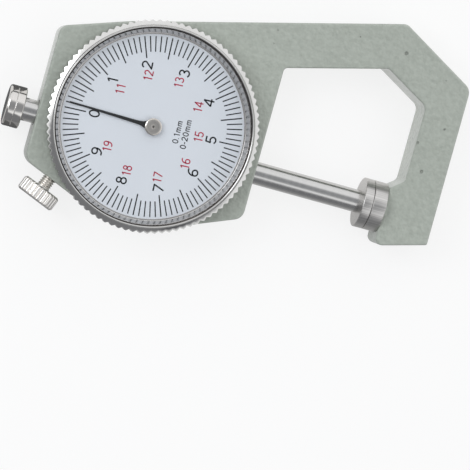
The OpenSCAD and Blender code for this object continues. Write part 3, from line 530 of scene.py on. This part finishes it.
cut[toothRows] = bezel["depth"]
points = turned(profile, columns, cut * knurlWave(columns, bezel["teeth"], bezel["flat"]))
wallTop = points[toothRows[-1]]
wallTop[:, 2] = browZ - (np.hypot(wallTop[:, 0], wallTop[:, 1]) - browR) * fall
addPiece("bezelRing", points, gridFaces(len(profile), columns, ringRows=True), brightChrome, "bezel",
         "bezel", sharp=38)
print("gauge: bezel")


# Ring round the dial: a low foot, then a steep bright wall up to the crystal, which mirrors the divisions
dialRing = {"inner": 19.72, "foot": 0.04, "footWidth": 0.38, "top": 20.86, "soft": 0.12, "columns": 360}
low, high = boxOf("dial_ring")
footTop, wallR = low[2] + dialRing["foot"], dialRing["inner"] + dialRing["footWidth"]
profile = softened([(dialRing["inner"], low[2]), (dialRing["inner"], footTop), (wallR, footTop),
                    (dialRing["top"], high[2]), (high[0], high[2]), (high[0], low[2])], dialRing["soft"])
columns = dialRing["columns"]
addPiece("dialRing", turned(profile, columns), gridFaces(len(profile), columns, ringRows=True),
         brightAluminium, "bezel", "dial_ring")
print("gauge: dial ring")


# Strokes of a numeral: each a path in a box one high, drawn with a pen of even width
arcSteps = 25


def arc(centre, radii, fromAngle, toAngle):
    angle = np.radians(np.linspace(fromAngle, toAngle, arcSteps))
    return np.stack([centre[0] + radii[0] * np.cos(angle), centre[1] + radii[1] * np.sin(angle)], -1)


def line(*corners):
    return np.array(corners, float)


six = [arc((0.28, 0.3), (0.22, 0.25), 0, 360), arc((0.42, 0.42), (0.36, 0.53), 182, 72)]
arch = [np.vstack([arc((middle, 0.48), (0.15, 0.17), 180, 0), line((middle + 0.15, 0))])
        for middle in (0.25, 0.55)]
glyphs = {  # each letter's width and strokes
    "0": (0.56, [arc((0.28, 0.5), (0.23, 0.45), 0, 360)]),
    "1": (0.5, [line((0.34, 0), (0.34, 1)), line((0.35, 0.97), (0.15, 0.79))]),
    "2": (0.56, [np.vstack([arc((0.28, 0.71), (0.22, 0.24), 165, -38), line((0.05, 0.05))]),
                 line((0, 0.05), (0.54, 0.05))]),
    "3": (0.54, [arc((0.26, 0.74), (0.2, 0.21), 155, -90), arc((0.26, 0.29), (0.23, 0.24), 90, -155)]),
    "4": (0.58, [line((0.42, 0), (0.42, 1)), line((0.42, 0.96), (0.03, 0.28)),
                 line((0, 0.27), (0.58, 0.27))]),
    "5": (0.55, [line((0.51, 0.95), (0.11, 0.95)), line((0.13, 0.99), (0.07, 0.48)),
                 arc((0.27, 0.315), (0.23, 0.265), 135, -155)]),
    "6": (0.56, six),
    "7": (0.55, [line((0.01, 0.95), (0.55, 0.95)), line((0.52, 0.98), (0.18, 0))]),
    "8": (0.56, [arc((0.28, 0.745), (0.18, 0.205), 0, 360), arc((0.28, 0.29), (0.22, 0.24), 0, 360)]),
    "9": (0.56, [np.array([0.56, 1.0]) - stroke for stroke in six]),
    ".": (0.12, [line((0.06, 0), (0.06, 0.12))]),
    "-": (0.32, [line((0, 0.36), (0.32, 0.36))]),
    "m": (0.78, [line((0.1, 0), (0.1, 0.66))] + arch),
}
dialPrint = {"ink": 0.015, "zero": 182.75, "divisions": 100, "longEvery": 5, "numbers": 10,
             "outer": 19.3, "inner": 15.95, "innerLong": 14.68, "width": 0.25, "widthLong": 0.27,
             "letterGap": 0.13}
firstTurn = {"height": 2.32, "stretch": 1.22, "pen": 0.14, "radius": 12.85, "spread": 0.4}
laterTurn = {"height": 1.95, "stretch": 1.0, "pen": 0.13, "radius": 10.1, "spread": 0.85}
legend = {"height": 1.3, "stretch": 1.15, "pen": 0.15, "across": 0.3,
          "lines": [("0.1mm", 5.37), ("0-20mm", 7.24)]}
dialTop = boxOf("dial")[1][2]


# Raised ink along a path: a box-shaped profile carried along it, square to the path at each point
def inkStroke(path, halfWidth):
    closed = np.allclose(path[0], path[-1])
    p = path[:-1] if closed else path
    if closed:
        along = np.roll(p, -1, 0) - np.roll(p, 1, 0)
    else:
        along = np.gradient(p, axis=0)
    along = along / np.linalg.norm(along, axis=1, keepdims=True)
    off = np.stack([-along[:, 1], along[:, 0]], -1) * halfWidth
    flat = np.stack([p - off, p + off, p + off, p - off], 1)
    rise = np.broadcast_to(dialTop + np.array([0, 0, 1, 1]) * dialPrint["ink"], flat.shape[:2])
    faces = gridFaces(len(p), 4, ringRows=closed).tolist()
    if not closed:
        last = 4 * (len(p) - 1)
        faces += [[0, 1, 2, 3], [last, last + 1, last + 2, last + 3]]
    return np.dstack([flat, rise]).reshape(-1, 3), faces


# Several strokes of ink as one piece
def inkPiece(name, strokes, material):
    allPoints, allFaces, count = [], [], 0
    for path, width in strokes:
        points, faces = inkStroke(path, width / 2)
        allPoints.append(points)
        allFaces += [[corner + count for corner in face] for face in faces]
        count += len(points)
    addPiece(name, np.vstack(allPoints), allFaces, material, "bezel")


# Strokes of a text set about a centre on the dial, its top turned to the zero mark
def written(text, style, centre):
    widths = [glyphs[letter][0] for letter in text]
    left = -(sum(widths) + dialPrint["letterGap"] * (len(text) - 1)) / 2
    up = math.radians(dialPrint["zero"])
    axes = np.array([[math.sin(up), -math.cos(up)], [math.cos(up), math.sin(up)]])
    strokes = []
    for letter, width in zip(text, widths):
        for path in glyphs[letter][1]:
            placed = (path + np.array([left, -0.5])) * np.array([style["stretch"], 1]) * style["height"]
            strokes.append((placed @ axes + np.array(centre), style["pen"] * style["height"]))
        left += width + dialPrint["letterGap"]
    return strokes


# Place of a number on the dial. Beside the spindle line it stands a little further out.
def onDial(style, turns):
    angle = math.radians(dialPrint["zero"] - 360 * turns)
    reach = style["radius"] + style["spread"] * abs(math.sin(2 * math.pi * turns))
    return reach * math.cos(angle), reach * math.sin(angle)


divisions, numerals, secondTurn, legends = [], [], [], []
for step in range(dialPrint["divisions"]):
    angle = math.radians(dialPrint["zero"] - step * 360 / dialPrint["divisions"])
    outward = np.array([math.cos(angle), math.sin(angle)])
    isLong = step % dialPrint["longEvery"] == 0
    inner, width = ("innerLong", "widthLong") if isLong else ("inner", "width")
    divisions.append((np.outer([dialPrint[inner], dialPrint["outer"]], outward), dialPrint[width]))
inTurn = dialPrint["numbers"]
for k in range(inTurn):
    numerals += written(str(k), firstTurn, onDial(firstTurn, k / inTurn))
for k in range(1, inTurn):
    secondTurn += written(str(k + inTurn), laterTurn, onDial(laterTurn, k / inTurn))
for text, reach in legend["lines"]:
    legends += written(text, legend, (reach, legend["across"]))
inkPiece("dialDivisions", divisions, blackInk)
inkPiece("dialNumerals", numerals, blackInk)
inkPiece("dialSecondTurn", secondTurn, redInk)
inkPiece("dialLegends", legends, blackInk)
print("gauge: dial print")


# Pointer: a needle with a low ridge, narrowing evenly to its tip, with a fillet where it leaves the hub
needle = {"angle": 178.75, "length": 18.55, "base": 0.84, "tip": 0.3, "start": 0.9, "hubEdge": 1.85,
          "fillet": 0.75, "filletReach": 0.55, "edge": 0.45, "crest": 0.25, "stations": 60, "crowding": 1.5}
low, high = boxOf("pointer")
along = np.linspace(0, 1, needle["stations"]) ** needle["crowding"]
reach = needle["start"] + (needle["length"] - needle["start"]) * along
flare = np.exp(-np.maximum(reach - needle["hubEdge"], 0) / needle["filletReach"])
half = (needle["base"] + (needle["tip"] - needle["base"]) * along + needle["fillet"] * flare) / 2
edge, crest = needle["edge"], needle["crest"]
ridge = np.array([(-1, 0), (1, 0), (1, edge), (crest, 1), (-crest, 1), (-1, edge)])
across = half[:, None] * ridge[:, 0]
rise = np.broadcast_to(low[2] + (high[2] - low[2]) * ridge[:, 1], across.shape)
turnAngle = math.radians(needle["angle"])
points = np.stack([reach[:, None] * math.cos(turnAngle) - across * math.sin(turnAngle),
                   reach[:, None] * math.sin(turnAngle) + across * math.cos(turnAngle), rise], -1)
ringCount, last = len(ridge), len(ridge) * (needle["stations"] - 1)
faces = gridFaces(needle["stations"], ringCount).tolist()
faces += [list(range(ringCount)), [last + k for k in range(ringCount)]]
addPiece("pointerNeedle", points, faces, blackLacquer, "pointer", "pointer", sharp=25)


# Hub cap: a turned button, slightly hollow on top, with a small centre dimple
hub = {"bevel": 0.29, "bevelDrop": 0.15, "rim": 0.42, "hollow": 0.06, "dimple": 0.34, "dimpleFloor": 0.12,
       "dimpleDepth": 0.18, "soft": 0.06, "columns": 96}
low, high = boxOf("pointer_hub")
r, top = high[0], high[2]
profile = softened([(0, low[2]), (r, low[2]), (r, top - hub["bevelDrop"]), (r - hub["bevel"], top),
                    (r - hub["rim"], top), (hub["dimple"], top - hub["hollow"]),
                    (hub["dimpleFloor"], top - hub["dimpleDepth"]), (0, top - hub["dimpleDepth"])],
                   hub["soft"])
columns = hub["columns"]
addPiece("pointerHubCap", turned(profile, columns), gridFaces(len(profile), columns), facedAluminium,
         "pointer", "pointer_hub")
print("gauge: pointer")


# Turned pieces on the spindle axis, each from a profile of [radius, place along the axis]
discs = {"columns": 160, "soft": 0.08, "bevel": 0.14, "knobNose": 0.5, "noseRound": 0.3, "scribe": 0.07,
         "stem": 1.5, "stemLength": 6.0, "matingDepth": 0.3, "matingWidth": 0.08}
bevel, matingDepth, matingWidth = discs["bevel"], discs["matingDepth"], discs["matingWidth"]


def spindleDisc(name, node, corners, centre, material, body):
    profile = softened(corners, discs["soft"])
    points = laidAlong(turned(profile, discs["columns"]), (0, centre[1], centre[2]), (1, 0, 0))
    addPiece(name, points, gridFaces(len(profile), discs["columns"]), material, body, node)


low, high = boxOf("lifting_knob")
r, start, end = (high[2] - low[2]) / 2, low[0], high[0]
mid, scribe = (start + end) / 2, discs["scribe"]
nose = discs["knobNose"]
noseCut = nose * discs["noseRound"]
spindleDisc("liftingKnob", "lifting_knob",
            [(0, start), (r - nose, start), (r - noseCut, start + noseCut), (r, start + nose),
             (r, mid - scribe), (r - scribe, mid), (r, mid + scribe), (r, end - bevel), (r - bevel, end),
             (0, end)],
            (low + high) / 2, polishedSteel, "spindle")
low, high = boxOf("contact_head")
r, start, end = (high[2] - low[2]) / 2, low[0], high[0]
spindleDisc("contactHead", "contact_head",
            [(0, start), (r - bevel, start), (r, start + bevel), (r, end - matingWidth),
             (r - matingDepth, end), (0, end)],
            (low + high) / 2, groundSteel, "spindle")
low, high = boxOf("anvil")
r, start, end, stem = (high[2] - low[2]) / 2, low[0], high[0] - discs["stemLength"], discs["stem"]
spindleDisc("anvilDisc", "anvil",
            [(0, start), (r - matingDepth, start), (r, start + matingWidth), (r, end - bevel),
             (r - bevel, end), (stem, end), (stem, high[0]), (0, high[0])],
            (low + high) / 2, groundSteel, "frame")
print("gauge: discs")


# Lock screw: a knurled head and a shank with a real helical thread, in one turned surface
lockScrew = {"clampX": -12.65, "slope": 22.0, "headLength": 3.2, "headRadius": 4.4, "bevel": 0.4,
             "soft": 0.12, "collar": 0.3, "teeth": 25, "steps": 8, "depth": 0.3, "flat": 2.6,
             "threadRadius": 1.49, "threadDepth": 0.28, "flank": 1.25, "crest": 0.12, "pitch": 0.5,
             "rowsPerPitch": 10}
slope = math.radians(lockScrew["slope"])
axis = np.array([math.sin(slope), math.cos(slope), 0])
spindleLow, spindleHigh = boxOf("spindle")
clamp = np.array([lockScrew["clampX"], *(spindleLow + spindleHigh)[1:] / 2])
reach = (joinedSolid("lock_screw")[0] - clamp) @ axis
outside, tip = reach.min(), reach.max()
inside = outside + lockScrew["headLength"]
columns = lockScrew["teeth"] * lockScrew["steps"]
r, bevel = lockScrew["headRadius"], lockScrew["bevel"]
head = softened([(0, outside), (r - bevel, outside), (r, outside + bevel), (r, inside - bevel),
                 (r - bevel, inside), (lockScrew["threadRadius"] + lockScrew["collar"], inside)],
                lockScrew["soft"])
onRim = np.clip((head[:, :1] - (r - bevel)) / bevel, 0, 1)
valley = 1 - knurlWave(columns, lockScrew["teeth"], lockScrew["flat"])
headPoints = turned(head, columns, -onRim * lockScrew["depth"] * valley)
rows = int((tip - inside) / lockScrew["pitch"] * lockScrew["rowsPerPitch"])
along = np.linspace(inside, tip, rows)
shank = np.stack([np.full(rows, lockScrew["threadRadius"]), along], -1)
phase = (along[:, None] / lockScrew["pitch"] - np.arange(columns)[None, :] / columns) % 1
ends = np.clip(np.minimum(along - inside, tip - along) / lockScrew["pitch"], 0, 1)[:, None]
groove = np.clip(lockScrew["flank"] * np.abs(2 * phase - 1) - lockScrew["crest"], 0, 1)
shankPoints = turned(shank, columns, -lockScrew["threadDepth"] * groove * ends)
tipPoints = turned(np.array([[0.0, tip]]), columns)
points = laidAlong(np.concatenate([headPoints, shankPoints, tipPoints]), clamp, axis)
addPiece("lockThumbscrew", points, gridFaces(len(points), columns), nickelPlate, "lock_screw",
         "lock_screw", sharp=45)
print("gauge: lock screw")


# Finishes of the solids that stay as they are
finishes = [
    (hammeredEnamel, ["rear_cover"]),
    (slidingSteel, ["spindle"]),
    (groundSteel, ["guide_pin", "spring_pin", "spring_anchor", "take_up_arbor"]),
    (zincScrew, ["rear_cover_screws", "plate_screws", "bridge_screws"]),
    (springSteel, ["bezel_snap_ring", "hairspring"]),
    (turnedBrass, ["left_bush", "right_bush", "movement_plate", "pillars", "movement_bridge",
                   "arbor_bushes", "hairspring_stud", "pinion_arbor", "take_up_gear",
                   "hairspring_collet", "lock_pad"]),
    (dialEnamel, ["dial"]),
    (acrylic, ["crystal"]),
]
for material, names in finishes:
    for name in names:
        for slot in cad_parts[name].material_slots:
            slot.material = material
print("gauge: finishes")
